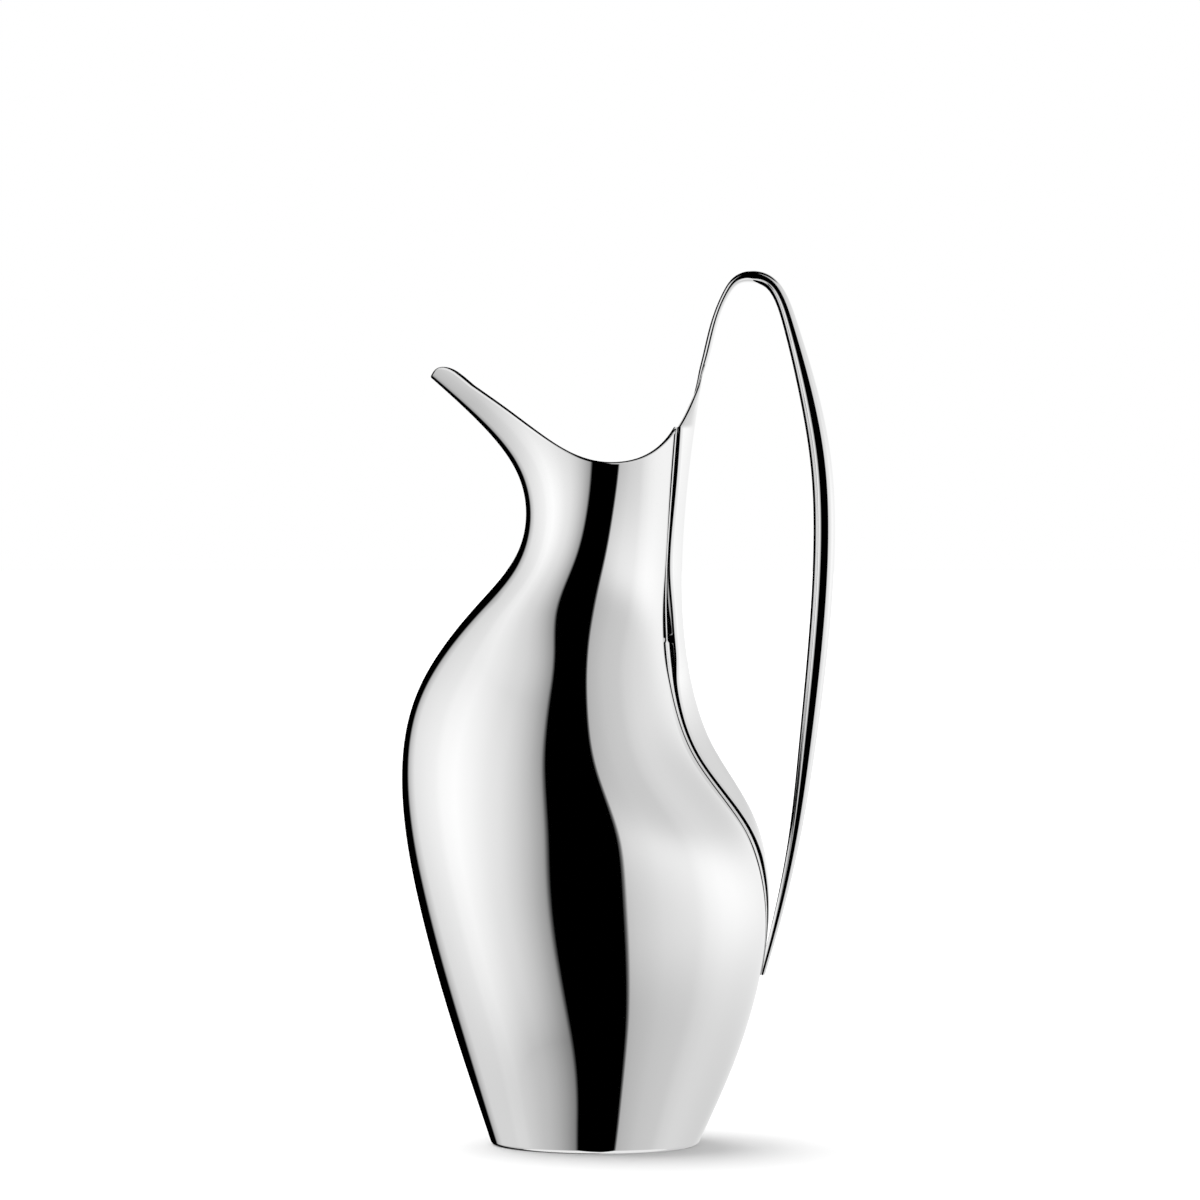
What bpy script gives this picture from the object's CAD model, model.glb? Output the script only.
"""Mirror-polished steel water pitcher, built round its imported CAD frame. Sizes here are in millimetres."""

import bpy
import numpy as np
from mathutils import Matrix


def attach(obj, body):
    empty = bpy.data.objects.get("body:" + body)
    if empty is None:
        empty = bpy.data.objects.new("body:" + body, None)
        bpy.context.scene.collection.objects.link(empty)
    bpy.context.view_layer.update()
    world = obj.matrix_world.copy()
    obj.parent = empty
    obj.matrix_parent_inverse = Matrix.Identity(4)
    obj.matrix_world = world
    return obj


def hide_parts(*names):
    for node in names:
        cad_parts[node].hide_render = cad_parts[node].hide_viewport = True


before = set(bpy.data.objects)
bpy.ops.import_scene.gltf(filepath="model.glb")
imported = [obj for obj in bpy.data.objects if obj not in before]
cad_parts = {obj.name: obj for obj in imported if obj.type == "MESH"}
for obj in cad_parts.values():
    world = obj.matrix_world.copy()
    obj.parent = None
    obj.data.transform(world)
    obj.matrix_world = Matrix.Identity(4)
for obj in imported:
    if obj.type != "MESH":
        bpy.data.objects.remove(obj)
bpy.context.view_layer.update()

# ---- Body halves ---------------------------------------------------------------------------
# Two mirror-image pressings of 1 mm stainless sheet, welded edge to edge down the front and the
# back. The seams are ground flush, so the two read as one polished skin. The lip is rounded over,
# and the inside is left satin.

MM = 0.001
SHEET = 1.0
FOOT_RADIUS = 1.2


def smooth(stations):
    """Natural cubic curve through (position, value) stations."""
    at, value = np.array(stations, float).T
    step = np.diff(at)
    matrix = np.eye(len(at))
    right = np.zeros(len(at))
    for i in range(1, len(at) - 1):
        matrix[i, i - 1:i + 2] = step[i - 1], 2 * (step[i - 1] + step[i]), step[i]
        right[i] = 6 * ((value[i + 1] - value[i]) / step[i] - (value[i] - value[i - 1]) / step[i - 1])
    bend = np.linalg.solve(matrix, right)

    def curve(x):
        x = np.asarray(x, float)
        i = np.clip(np.searchsorted(at, x) - 1, 0, len(at) - 2)
        before, after = x - at[i], at[i + 1] - x
        cubic = (bend[i] * after**3 + bend[i + 1] * before**3) / (6 * step[i])
        start = (value[i] / step[i] - bend[i] * step[i] / 6) * after
        end = (value[i + 1] / step[i] - bend[i + 1] * step[i] / 6) * before
        return cubic + start + end

    return curve


def slope(curve, x):
    return (curve(x + 0.01) - curve(x - 0.01)) / 0.02


# Height, then X of the front and of the back, half the width, and how far the oval is drawn out.
front_x = smooth([(0, -34.3), (40, -47.5), (80, -58.4), (120, -63.7), (150, -57.6), (175, -40.1),
                  (190, -27.7), (205, -23.2), (222, -27.5), (240, -42.8), (255, -59.5)])
back_x = smooth([(0, 33.0), (25, 44.2), (50, 52.2), (72, 55.4), (90, 53.7), (103, 49.0), (114, 41.5),
                 (126, 33.0), (142, 26.6), (165, 23.4), (195, 24.0), (225, 25.8), (255, 28.0)])
half_width = smooth([(0, 27.5), (12, 32.0), (40, 42.0), (75, 47.0), (105, 48.0), (127, 45.0),
                     (150, 37.5), (172, 28.0), (195, 24.2), (222, 25.5), (255, 28.0)])
drawn_out = smooth([(0, 0.05), (40, 0.03), (80, 0.02), (112, 0.13), (138, 0.23), (160, 0.20),
                    (182, 0.04), (200, 0.02), (222, 0.20), (240, 0.45), (255, 0.58)])


def outline(angle, z, inset=0.0):
    """Points of the body's oval at height z, from the front (angle 0) round to the back (pi)."""
    front = front_x(z) + inset * np.sqrt(1 + slope(front_x, z) ** 2)
    back = back_x(z) - inset * np.sqrt(1 + slope(back_x, z) ** 2)
    side = half_width(z) - inset * np.sqrt(1 + slope(half_width, z) ** 2)
    x = (front + back) / 2 - (back - front) / 2 * np.cos(angle)
    y = side * np.sin(angle) * (1 - drawn_out(z) * np.cos(angle))
    return np.stack([x, y, z + 0 * x], -1)


def unit(vectors):
    return vectors / np.linalg.norm(vectors, axis=-1, keepdims=True)


def facing(angle, z, inset=0.0):
    """Outward direction of that surface."""
    nudge = 1e-3
    round_it = outline(angle + nudge, z, inset) - outline(angle - nudge, z, inset)
    up_it = outline(angle, z + nudge, inset) - outline(angle, z - nudge, inset)
    return unit(np.cross(up_it, round_it))


# The lip seen from the side, from the keel at the spout's tip to where the handle takes over.
LIP = [(front_x(250.7), 250.7), (-52.5, 253.1), (-49.5, 253.2), (-44.8, 250.4), (-31.7, 241.0),
       (-18.6, 231.6), (-8.0, 225.3), (0.0, 222.8), (6.0, 222.4), (13.0, 223.5), (20.0, 227.1),
       (26.4, 234.3), (30.3, 241.8), (32.9, 248.0), (36.2, 260.0)]


def chord_curve(points):
    """Smooth curve through points, by distance along their chords: its functions and its length."""
    points = np.array(points, float)
    run = np.concatenate([[0], np.cumsum(np.linalg.norm(np.diff(points, axis=0), axis=1))])
    return [smooth(list(zip(run, column))) for column in points.T], run


(lip_x, lip_z), lip_run = chord_curve(LIP)
along_lip = np.linspace(0, lip_run[-1], 6000)
lip_middle = (front_x(lip_z(along_lip)) + back_x(lip_z(along_lip))) / 2
lip_reach = (back_x(lip_z(along_lip)) - front_x(lip_z(along_lip))) / 2
lip_cosine = (lip_middle - lip_x(along_lip)) / lip_reach
lip_ends = int(np.argmax(lip_cosine < -1))
lip_angle = np.maximum.accumulate(np.arccos(np.clip(lip_cosine[:lip_ends], -1, 1)))
lip_angle[0], lip_angle[-1] = 0, np.pi


def lip_height(angle):
    return np.interp(angle, lip_angle, lip_z(along_lip[:lip_ends]))


def mesh_piece(name, points, faces, smooth_faces, normals, replaced, materials):
    """Mesh object on the root body, with its own exact normals."""
    mesh = bpy.data.meshes.new(name)
    mesh.from_pydata((points.reshape(-1, 3) * MM).tolist(), [], faces)
    mesh.polygons.foreach_set("use_smooth", smooth_faces)
    mesh.update()
    mesh.normals_split_custom_set_from_vertices(unit(normals.reshape(-1, 3)).tolist())
    for material in materials:
        mesh.materials.append(material)
    piece = bpy.data.objects.new(name, mesh)
    bpy.context.scene.collection.objects.link(piece)
    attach(piece, "root")
    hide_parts(*replaced)
    return piece


def grid_piece(name, points, normals, replaced, materials, inner_from):
    """Closed ring of rows (first index) by columns as a mesh object with its own exact normals.

    Faces from row inner_from onwards take the second material.
    """
    rows, columns = points.shape[:2]
    index = np.arange(rows * columns).reshape(rows, columns)
    below, above = index, np.roll(index, -1, axis=0)
    quads = np.stack([below[:, :-1], above[:, :-1], above[:, 1:], below[:, 1:]], -1).reshape(-1, 4)
    second = np.repeat(np.arange(rows) >= inner_from, columns - 1).astype(int).tolist()
    half = rows // 2
    for column, order in ((0, 1), (columns - 1, -1)):
        one, two = index[:half, column], index[::-1, column][:half]
        cap = np.stack([one[:-1], one[1:], two[1:], two[:-1]], -1)
        quads = np.concatenate([quads, cap[:, ::order]])
        second += [0] * len(cap)
    piece = mesh_piece(name, points, quads.tolist(), [True] * len(quads), normals, replaced, materials)
    piece.data.polygons.foreach_set("material_index", second)
    return piece


class Socket:
    """A shader value that arithmetic can be written with."""

    def __init__(self, tree, link):
        self.tree, self.link = tree, link

    def math(self, operation, other=None, swap=False):
        node = self.tree.nodes.new("ShaderNodeMath")
        node.operation = operation
        pair = (other, self) if swap else (self, other)
        for socket, value in zip(node.inputs, pair):
            if isinstance(value, Socket):
                self.tree.links.new(value.link, socket)
            elif value is not None:
                socket.default_value = value
        return Socket(self.tree, node.outputs[0])

    def __add__(self, other):
        return self.math("ADD", other)

    def __radd__(self, other):
        return self.math("ADD", other, True)

    def __sub__(self, other):
        return self.math("SUBTRACT", other)

    def __rsub__(self, other):
        return self.math("SUBTRACT", other, True)

    def __mul__(self, other):
        return self.math("MULTIPLY", other)

    def __rmul__(self, other):
        return self.math("MULTIPLY", other, True)

    def __truediv__(self, other):
        return self.math("DIVIDE", other)


def node(tree, kind, settings=None, **sockets):
    """A node of a kind, with its settings made first and then the values or links of its sockets."""
    made = tree.nodes.new(kind)
    for key, value in (settings or {}).items():
        setattr(made, key, value)
    for key, value in sockets.items():
        socket = made.inputs[key.replace("_", " ")]
        if isinstance(value, Socket):
            tree.links.new(value.link, socket)
        else:
            socket.default_value = value
    return made


def steel(name, colour, polish, haze, seed):
    """Stainless steel whose polish varies: broad hazy areas, fine wipe marks and a worn foot edge."""
    material = bpy.data.materials.new(name)
    material.use_nodes = True
    tree = material.node_tree
    place = Socket(tree, node(tree, "ShaderNodeTexCoord").outputs["Object"])
    long_marks = node(tree, "ShaderNodeMapping", Vector=place, Scale=(1.0, 1.0, 0.18))
    clouds = node(tree, "ShaderNodeTexNoise", {"noise_dimensions": "4D"}, Vector=place, W=seed, Scale=22.0,
                  Detail=3.0)
    marks = node(tree, "ShaderNodeTexNoise", {"noise_dimensions": "4D"}, W=seed + 3,
                 Vector=Socket(tree, long_marks.outputs["Vector"]), Scale=420.0, Detail=4.0)
    level = Socket(tree, node(tree, "ShaderNodeSeparateXYZ", Vector=place).outputs["Z"])
    worn = (1 - level * (1 / 0.0009)).math("MAXIMUM", 0.0).math("MINIMUM", 1.0)
    cloudy, marked = Socket(tree, clouds.outputs["Fac"]), Socket(tree, marks.outputs["Fac"])
    shader = tree.nodes["Principled BSDF"]
    shader.inputs["Base Color"].default_value = (colour, colour, colour, 1)
    shader.inputs["Metallic"].default_value = 1.0
    roughness = polish + haze * cloudy + 0.5 * haze * marked + 0.22 * worn * marked
    tree.links.new(roughness.link, shader.inputs["Roughness"])
    return material


polished = steel("mirror_polished_steel", 0.93, 0.022, 0.012, 1.0)
satin_inside = steel("satin_inside_steel", 0.86, 0.16, 0.10, 5.0)

COLUMNS, ROWS, LIP_ROWS, FOOT_ROWS = 150, 250, 12, 8
LIP_SQUARENESS = 2.0  # 2 is half round, higher is flatter
LIP_STAND = 1.0  # how far the rounding stands, in half thicknesses
LIP_BEAD = 1.5  # the edge is upset to this thickness, towards the inside


def signed_power(value, power):
    return np.sign(value) * np.abs(value) ** power


def body_half(name, replaced, side):
    angle = np.linspace(0, np.pi, COLUMNS)[None, :]
    lip = lip_height(angle)
    # The direction that leaves the sheet at the lip, square to the lip and within the sheet.
    step = 1e-3
    ahead, behind = np.minimum(angle + step, np.pi), np.maximum(angle - step, 0)
    run = outline(ahead, lip_height(ahead)) - outline(behind, lip_height(behind))
    out = facing(angle, lip)
    leave = unit(np.cross(run, out))
    leave *= np.sign(leave[..., 2:])
    rise = (outline(angle, lip + step) - outline(angle, lip - step)) / (2 * step)
    edge = lip - LIP_BEAD / 2 * LIP_STAND / np.sum(rise * leave, -1)

    turn = np.linspace(0, np.pi / 2, FOOT_ROWS)[:-1, None]
    share = np.linspace(0, 1, ROWS)[:, None]
    outer_z = FOOT_RADIUS + (edge - FOOT_RADIUS) * share
    foot_z = FOOT_RADIUS * (1 - np.cos(turn)) + 0 * angle
    foot_inset = FOOT_RADIUS * (1 - np.sin(turn))
    foot = outline(angle, foot_z, foot_inset)
    foot_out = facing(angle, foot_z)
    foot_out = foot_out * np.sin(turn)[..., None] + np.array([0, 0, -1.0]) * np.cos(turn)[..., None]
    outer = outline(angle + 0 * outer_z, outer_z)
    bead = np.clip(1 - (edge - outer_z) / 5.0, 0, 1) ** 2 * (LIP_BEAD - SHEET)
    inner = outline(angle + 0 * outer_z, outer_z, SHEET + bead)
    inner_foot = outline(angle, foot_z, foot_inset + SHEET)

    wide = (outer[-1] - inner[-1]) / 2
    middle = (outer[-1] + inner[-1]) / 2
    bend = np.linspace(0, np.pi, LIP_ROWS * 2)[1:-1, None, None]
    thick = np.linalg.norm(wide, axis=-1, keepdims=True)
    across, beyond = signed_power(np.cos(bend), 2 / LIP_SQUARENESS), np.sin(bend) ** (2 / LIP_SQUARENESS)
    over = middle + wide * across + leave[0] * thick * LIP_STAND * beyond
    over_out = unit(wide) * signed_power(across, LIP_SQUARENESS - 1)
    over_out = unit(over_out + leave[0] * beyond ** (LIP_SQUARENESS - 1) / LIP_STAND)

    points = np.concatenate([foot, outer, over, inner[::-1], inner_foot[::-1]])
    normals = np.concatenate([foot_out, facing(angle + 0 * outer_z, outer_z), over_out,
                              -facing(angle + 0 * outer_z, outer_z, SHEET)[::-1],
                              -facing(angle, foot_z, SHEET)[::-1]])
    points[:, 0, 1] = points[:, -1, 1] = 0
    normals[:, 0, 1] = normals[:, -1, 1] = 0
    if side < 0:
        points, normals = points * [1, -1, 1], normals * [1, -1, 1]
        points, normals = points[:, ::-1], normals[:, ::-1]
    inner_from = len(foot) + len(outer) + len(over)
    return grid_piece(name, points, normals, [replaced], [polished, satin_inside], inner_from)


body_half("right_body", "right_body_half", 1)
body_half("left_body", "left_body_half", -1)

# ---- Base ------------------------------------------------------------------------------------
# A pressed disc of the same sheet let into the bottom of the body and welded all round. The CAD
# shapes are right, so they stay: the disc is satin, and the bead is a little rougher.

for base_node, finish in (("base_plate", steel("turned_base_steel", 0.80, 0.20, 0.14, 9.0)),
                          ("base_weld", steel("base_bead_steel", 0.72, 0.28, 0.16, 12.0))):
    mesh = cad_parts[base_node].data
    mesh.materials.clear()
    mesh.materials.append(finish)

# ---- Spine ----------------------------------------------------------------------------------
# A narrow channel of sheet pressed to a low arch and laid down the back of the body, from the
# handle's root to its tip. Its two edges are filled with weld metal and polished into the body.

spine_x = smooth([(55, 53.9), (66, 55.5), (80, 56.5), (94, 55.2), (106, 51.8), (118, 45.3), (130, 38.0),
                  (144, 32.6), (162, 29.1), (184, 27.8), (205, 28.7), (228, 31.1), (250, 34.4)])
spine_half_width = smooth([(55, 2.0), (66, 2.6), (94, 4.6), (118, 6.2), (144, 6.8), (184, 6.8),
                           (250, 6.5)])
# How far the channel's widest line stands off the body before it is filled.
groove_stand = smooth([(55, 0.6), (66, 0.9), (75, 1.3), (86, 1.7), (99, 1.6), (115, 1.4), (130, 1.1),
                       (145, 1.2), (152, 1.6), (159, 2.4), (166, 2.4), (174, 2.1), (187, 0.95),
                       (204, 0.9), (217, 1.2), (235, 1.1)])
# How far the channel's sides tuck in under, in degrees.
groove_lean = smooth([(55, 0), (75, 9), (86, 13), (99, 3), (112, 1), (130, 3), (148, 15), (175, 15),
                      (254, 15)])
SPINE_LOW, SPINE_TOP = 55.2, 254.5
CORNER_RADIUS = 1.9  # where the arch turns down to the groove
ARCH_CONTROL = 0.33  # share of the half width that the crown stays nearly flat
FRONT_CORNER = 0.35

lip_rising = lip_x(along_lip) > 6.0


def lip_x_at(z):
    """X of the lip on its way up to the handle."""
    return np.interp(z, lip_z(along_lip[lip_rising]), lip_x(along_lip[lip_rising]), left=-99.0)


def back_angle(y, z):
    """Angle on the body's back half at which it is y from the middle plane."""
    low, high = np.full_like(z, np.pi / 2), np.full_like(z, np.pi)
    for _ in range(50):
        middle = (low + high) / 2
        beyond = outline(middle, z)[..., 1] > y
        low, high = np.where(beyond, middle, low), np.where(beyond, high, middle)
    return low


def plane_normal(angle, z):
    """Outward direction of the body's outline within its level plane."""
    nudge = 1e-4
    run = outline(angle + nudge, z) - outline(angle - nudge, z)
    return unit(np.stack([run[..., 1], -run[..., 0]], -1) * -1.0)


def spine_sections(z):
    """Half sections of the spine at levels z, from the crown round into the groove, then inwards."""
    w = spine_half_width(z)
    size = w / 6.8
    end_round = np.sqrt(np.clip(1 - (1 - (z - SPINE_LOW) / 1.2) ** 2, 0, 1))
    end_round = np.where(z > SPINE_LOW + 1.2, 1.0, end_round)
    edge_angle = back_angle(w, z)
    body_edge = outline(edge_angle, z)[:, 0]
    free = lip_x_at(z) > body_edge + 0.1
    lean = np.radians(groove_lean(z)) * (1 - 0.65 * np.exp(-((z - 165.0) / 1.3) ** 2))
    lean = np.where(free, 0.0, lean)
    corner = CORNER_RADIUS * size
    edge = np.where(free, lip_x_at(z), body_edge)
    stand = np.where(free, 0.65, groove_stand(z) * np.clip(size + 0.15, 0, 1))
    crown = edge + (spine_x(z) - edge) * end_round
    corner = np.minimum(corner, 0.6 * np.maximum(crown - edge - stand * 0.5, 0.05))
    stand = np.minimum(stand, 0.5 * np.maximum(crown - edge, 0.1))
    side_x = edge + stand

    low, high = np.full_like(z, 0.02), np.full_like(z, np.pi / 2 - 0.02)
    for _ in range(50):
        turn = (low + high) / 2
        rest_x = crown - side_x - corner * np.sin(turn)
        rest_y = (1 - ARCH_CONTROL) * (w - corner + corner * np.cos(turn))
        steep = np.cos(turn) * rest_y > np.sin(turn) * rest_x
        low, high = np.where(steep, turn, low), np.where(steep, high, turn)
    join = turn
    jx, jy = side_x + corner * np.sin(join), w - corner + corner * np.cos(join)
    cy = jy * ARCH_CONTROL
    columns = []
    for t in np.linspace(0, 1, 26)[:-1]:
        x = (1 - t) ** 2 * crown + 2 * t * (1 - t) * crown + t**2 * jx
        y = 2 * t * (1 - t) * cy + t**2 * jy
        columns.append((x, y))
    for t in np.linspace(0, 1, 26):
        turn = join * (1 - t) - lean * t
        columns.append((side_x + corner * np.sin(turn), w - corner + corner * np.cos(turn)))

    # A ball of the fillet's radius that touches both the channel's side and the body.
    start_x, start_y = columns[-1]
    along = np.stack([-np.cos(lean), -np.sin(lean)], -1)
    square = np.stack([-np.sin(lean), np.cos(lean)], -1)
    fillet = np.where(z > 164.5, 0.25, 0.9) * np.clip((z - 60) / 60, 0.3, 1)
    fillet = np.minimum(fillet, 0.45 * stand)
    angle, length = edge_angle.copy(), np.full_like(z, 0.2)

    def miss(angle, length):
        touch = outline(angle, z)[:, :2] + fillet[:, None] * plane_normal(angle, z)
        ball = np.stack([start_x, start_y], -1) + length[:, None] * along + fillet[:, None] * square
        return touch - ball

    for _ in range(12):
        now = miss(angle, length)
        by_angle = (miss(angle + 1e-5, length) - now) / 1e-5
        by_length = -along
        area = by_angle[:, 0] * by_length[:, 1] - by_angle[:, 1] * by_length[:, 0]
        angle = angle - (now[:, 0] * by_length[:, 1] - now[:, 1] * by_length[:, 0]) / area
        length = length - (by_angle[:, 0] * now[:, 1] - by_angle[:, 1] * now[:, 0]) / area
    body_side = plane_normal(angle, z)
    flank_end = np.stack([start_x, start_y], -1) + length[:, None] * along
    centre = flank_end + fillet[:, None] * square
    one, two = np.arctan2(-square[:, 1], -square[:, 0]), np.arctan2(-body_side[:, 1], -body_side[:, 0])
    two = np.where(two > one, two - 2 * np.pi, two)
    front_length = start_x - edge - FRONT_CORNER
    for t in np.linspace(0, 1, 9)[1:-1]:
        x = np.where(free, start_x - t * front_length, start_x + t * length * along[:, 0])
        y = np.where(free, start_y, start_y + t * length * along[:, 1])
        columns.append((x, y))
    for t in np.linspace(0, 1, 15):
        turn = one + (two - one) * t
        x, y = centre[:, 0] + fillet * np.cos(turn), centre[:, 1] + fillet * np.sin(turn)
        bend = t * np.pi / 2
        x = np.where(free, edge + FRONT_CORNER * (1 - np.sin(bend)), x)
        y = np.where(free, start_y - FRONT_CORNER * (1 - np.cos(bend)), y)
        columns.append((x, y))
    last_x, last_y = columns[-1]
    inner_x = np.where(free, edge, back_x(z) - 0.6)
    for t in np.linspace(0, 1, 7)[1:]:
        columns.append((last_x + (inner_x - last_x) * min(1, 3 * t), last_y * (1 - t)))
    return np.stack([np.stack([x, y, z], -1) for x, y in columns], 1)


def grid_normals(points):
    up = np.gradient(points, axis=0)
    across = np.gradient(points, axis=1)
    return unit(np.cross(across, up) + 1e-12)


def spine():
    rounded_end = SPINE_LOW + np.linspace(0, 1, 14) ** 2 * 3
    z = np.concatenate([rounded_end, np.arange(58.8, 254.5, 0.75), [SPINE_TOP]])
    half = spine_sections(z)
    normals = grid_normals(half)
    back = np.array([1, -1, 1])
    points = np.concatenate([(half * back)[:, :0:-1], half], 1)
    out = np.concatenate([(normals * back)[:, :0:-1], normals], 1)
    out[:, half.shape[1] - 1, 1] = 0
    return points, unit(out)


def sheet_piece(name, points, normals, replaced):
    """Rows by columns as a tube that is closed at both ends, with its own exact normals."""
    points, normals = points[:, :-1], normals[:, :-1]
    rows, columns = points.shape[:2]
    index = np.arange(rows * columns).reshape(rows, columns)
    beside = np.roll(index, -1, axis=1)
    quads = np.stack([index[:-1], beside[:-1], beside[1:], index[1:]], -1).reshape(-1, 4)
    faces = quads.tolist() + [index[0, ::-1].tolist(), index[-1].tolist()]
    smooth_faces = [True] * len(quads) + [False, False]
    return mesh_piece(name, points, faces, smooth_faces, normals, replaced, [polished])


spine_points, spine_out = spine()
sheet_piece("spine", spine_points, spine_out, ["back_spine", "left_spine_weld", "right_spine_weld"])

# ---- Handle ----------------------------------------------------------------------------------
# A hollow band of two pressed half shells, welded along both edges and polished flush. It runs
# from the back of the lip, up and over, and down to the spine's lower end.

# X and height of the middle line, with the band's depth (seen from the side) and its width.
HANDLE = [(31.5, 243.6, 0.4, 12.9), (32.5, 246.5, 0.8, 13.0), (33.5, 249.7, 1.35, 13.0),
          (34.35, 252.9, 1.8, 13.0), (35.2, 255.8, 2.1, 13.0), (38.2, 267.8, 2.2, 13.0),
          (42.3, 278.0, 2.3, 13.0), (45.6, 282.1, 2.8, 13.0), (51.0, 283.4, 3.7, 13.0),
          (56.0, 281.8, 3.9, 13.0), (60.5, 275.6, 4.2, 13.0), (63.2, 267.8, 4.6, 13.0),
          (69.4, 244.3, 6.1, 13.0), (73.4, 220.8, 6.8, 13.0), (74.3, 199.0, 6.9, 13.0),
          (72.2, 162.0, 6.5, 11.8), (68.8, 130.6, 5.5, 10.0), (64.4, 99.2, 3.8, 7.8),
          (57.4, 67.8, 2.4, 5.2), (53.9, 55.1, 1.9, 4.2)]
HANDLE_SQUARENESS = 3.2

run = np.concatenate([[0], np.cumsum(np.linalg.norm(np.diff(np.array(HANDLE)[:, :2], axis=0), axis=1))])
handle_x, handle_z, handle_depth, handle_width = (
    smooth(list(zip(run, column))) for column in np.array(HANDLE).T)


def handle():
    at = np.linspace(0, run[-1], 560)[:, None]
    turn = np.linspace(0, 2 * np.pi, 97)[None, :]
    tangent = unit(np.stack([slope(handle_x, at), 0 * at, slope(handle_z, at)], -1))
    square = np.cross(tangent, [0, 1, 0])
    left = np.minimum(at, run[-1] - at)
    close = np.sqrt(np.clip(1 - (1 - left / 0.9) ** 2, 0, 1))
    close = np.where(left > 0.9, 1.0, close) * 0.999 + 0.001
    power = 2 / HANDLE_SQUARENESS
    wide = handle_width(at) / 2 * signed_power(np.cos(turn), power)
    deep = handle_depth(at) / 2 * signed_power(np.sin(turn), power) * close
    middle = np.stack([handle_x(at), 0 * at, handle_z(at)], -1)
    points = middle + wide[..., None] * np.array([0, 1.0, 0]) + deep[..., None] * square
    ny = signed_power(np.cos(turn), power * (HANDLE_SQUARENESS - 1)) / (handle_width(at) / 2)
    nd = signed_power(np.sin(turn), power * (HANDLE_SQUARENESS - 1)) / (handle_depth(at) / 2)
    out = unit(ny[..., None] * np.array([0, 1.0, 0]) + nd[..., None] * square)
    return points, out


handle_points, handle_out = handle()
handle_band = sheet_piece("handle_band", handle_points, handle_out,
                          ["handle_outer_shell", "handle_inner_shell", "root_weld", "tip_weld"])
handle_band.visible_glossy = False  # its reflection would draw lines on the body

# ---- Studio --------------------------------------------------------------------------------
# What the steel mirrors is a world that is light and dark by direction: a black slot in front, soft
# panels beside it, black overhead. The camera sees white, and the floor gets an even light of its own.


world = bpy.data.worlds.new("studio")
bpy.context.scene.world = world
world.use_nodes = True
tree = world.node_tree
tree.nodes.clear()
direction = node(tree, "ShaderNodeTexCoord").outputs["Generated"]
parts = node(tree, "ShaderNodeSeparateXYZ", Vector=Socket(tree, direction))
x, y, z = (Socket(tree, parts.outputs[i]) for i in range(3))
turned = x.math("ARCTAN2", y * -1.0) / (2 * np.pi) + 0.5
ramp = node(tree, "ShaderNodeValToRGB", Fac=turned)


def azimuth(degrees):
    return degrees / 360 + 0.5


stops = [(-180, 0.0), (-139, 0.0), (-135, 0.45), (-122, 0.75), (-96, 0.86), (-90, 0.93), (-79, 0.97),
         (-68, 0.89), (-59, 0.80), (-51, 0.74), (-42, 0.62), (-35, 0.50), (-27, 0.33), (-24.5, 0.0),
         (16.5, 0.0), (18, 0.62), (23, 0.67), (30, 0.71), (40, 0.77), (52, 0.80), (63, 0.82), (73, 0.90),
         (87, 0.95), (100, 0.95), (115, 0.92), (145, 0.86), (180, 0.85)]
elements = ramp.color_ramp.elements
while len(elements) > 1:
    elements.remove(elements[-1])
for i, (at, level) in enumerate(stops):
    element = elements[0] if i == 0 else elements.new(azimuth(at))
    element.position = azimuth(at)
    element.color = (level, level, level, 1)
height = z.math("ARCSINE") * (180 / np.pi)
behind = ((turned - 0.5).math("ABSOLUTE") * 360 - 90) * (1 / 50)
behind = behind.math("MAXIMUM", 0.0).math("MINIMUM", 1.0)
aside = ((turned - 0.5).math("ABSOLUTE") * 360 - 30) * (1 / 40)
aside = aside.math("MAXIMUM", 0.0).math("MINIMUM", 1.0)
ceiling = 1 - ((height - (54 - 8 * aside - 18 * behind)) * (1 / 5)).math("MAXIMUM", 0.0).math("MINIMUM", 1.0)
bearing = (turned - 0.5) * 360
rightward = bearing.math("GREATER_THAN", 0.0)
steep = (height * height * (1 / 38**2)).math("MINIMUM", 1.0)
dim_left = steep * (0.14 + 0.22 * height.math("LESS_THAN", 0.0))
dim_right = 0.31 * (1 - (height * height * (-1 / 15**2)).math("EXPONENT"))
dim = 1 - dim_right * rightward - dim_left * (1 - rightward)
slot = bearing.math("GREATER_THAN", -25.0) * bearing.math("LESS_THAN", 17.0)
ground = height.math("LESS_THAN", -52.0) * (1 - slot)
light = Socket(tree, ramp.outputs["Color"]) * ceiling * dim * (1 - ground) + ground * 0.8
panel = node(tree, "ShaderNodeBackground", Color=light, Strength=1.1)
backdrop = node(tree, "ShaderNodeBackground", Color=(1, 1, 1, 1), Strength=1.0)
fill = node(tree, "ShaderNodeBackground", Color=(1, 1, 1, 1), Strength=0.8)
path = node(tree, "ShaderNodeLightPath")
seen = node(tree, "ShaderNodeMixShader")
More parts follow.
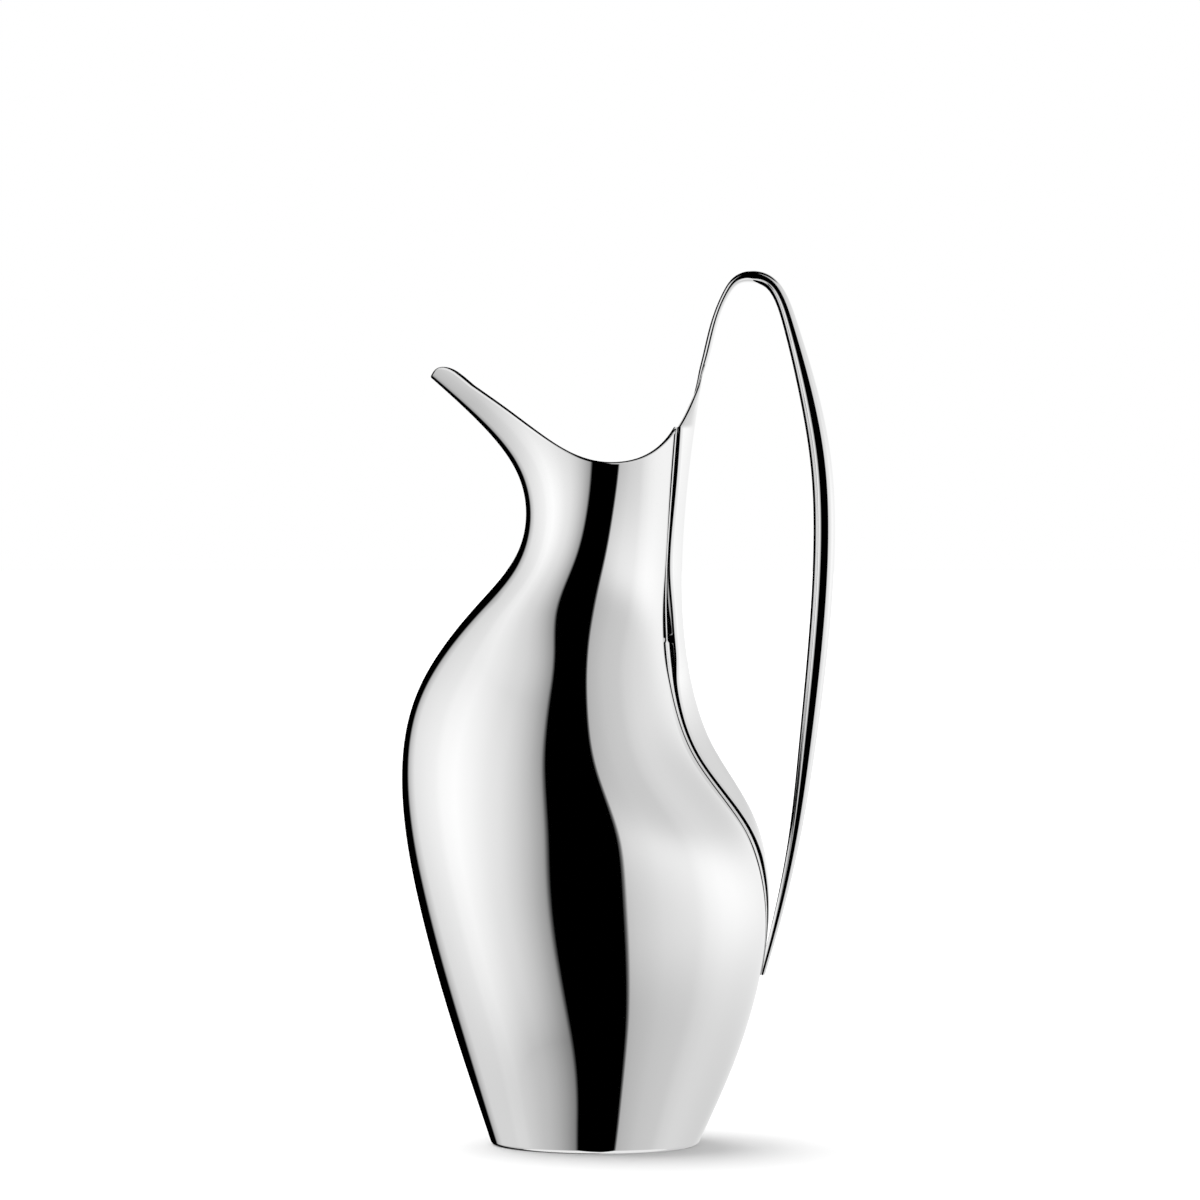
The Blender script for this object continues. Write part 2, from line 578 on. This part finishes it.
tree.links.new(path.outputs["Is Camera Ray"], seen.inputs[0])
tree.links.new(panel.outputs[0], seen.inputs[1])
tree.links.new(backdrop.outputs[0], seen.inputs[2])
mix = node(tree, "ShaderNodeMixShader")
tree.links.new(path.outputs["Is Diffuse Ray"], mix.inputs[0])
tree.links.new(seen.outputs[0], mix.inputs[1])
tree.links.new(fill.outputs[0], mix.inputs[2])
output = tree.nodes.new("ShaderNodeOutputWorld")
tree.links.new(mix.outputs[0], output.inputs[0])

floor_mesh = bpy.data.meshes.new("floor")
reach = 30.0
floor_mesh.from_pydata([(-reach, -reach, 0), (reach, -reach, 0), (reach, reach, 0), (-reach, reach, 0)], [],
                       [(0, 1, 2, 3)])
floor = bpy.data.objects.new("floor", floor_mesh)
bpy.context.scene.collection.objects.link(floor)
floor.visible_glossy = False
pale = bpy.data.materials.new("pale_floor")
pale.use_nodes = True
pale.node_tree.nodes["Principled BSDF"].inputs["Base Color"].default_value = (0.9, 0.9, 0.9, 1)
pale.node_tree.nodes["Principled BSDF"].inputs["Roughness"].default_value = 0.9
pale.node_tree.nodes["Principled BSDF"].inputs["Specular IOR Level"].default_value = 0.0
floor_mesh.materials.append(pale)

sun = bpy.data.lights.new("overhead", "SUN")
sun.energy = 2.4
sun.angle = np.radians(60)
lamp = bpy.data.objects.new("overhead", sun)
lamp.rotation_euler = (np.radians(-12), np.radians(-16), 0)
lamp.visible_glossy = False
bpy.context.scene.collection.objects.link(lamp)

camera_data = bpy.data.cameras.new("camera")
distance, height, frame_width = 1600.0, 197.0, 392.2
camera_data.sensor_width = 36
camera_data.lens = 36 * distance / frame_width
camera_data.shift_y = -59 / 1200
camera_data.clip_start = 0.05
camera_data.clip_end = 100
camera = bpy.data.objects.new("camera", camera_data)
camera.location = (1.0 * MM, -distance * MM, height * MM)
camera.rotation_euler = (np.pi / 2, 0, 0)
bpy.context.scene.collection.objects.link(camera)
bpy.context.scene.camera = camera
bpy.context.scene.view_settings.view_transform = "Standard"
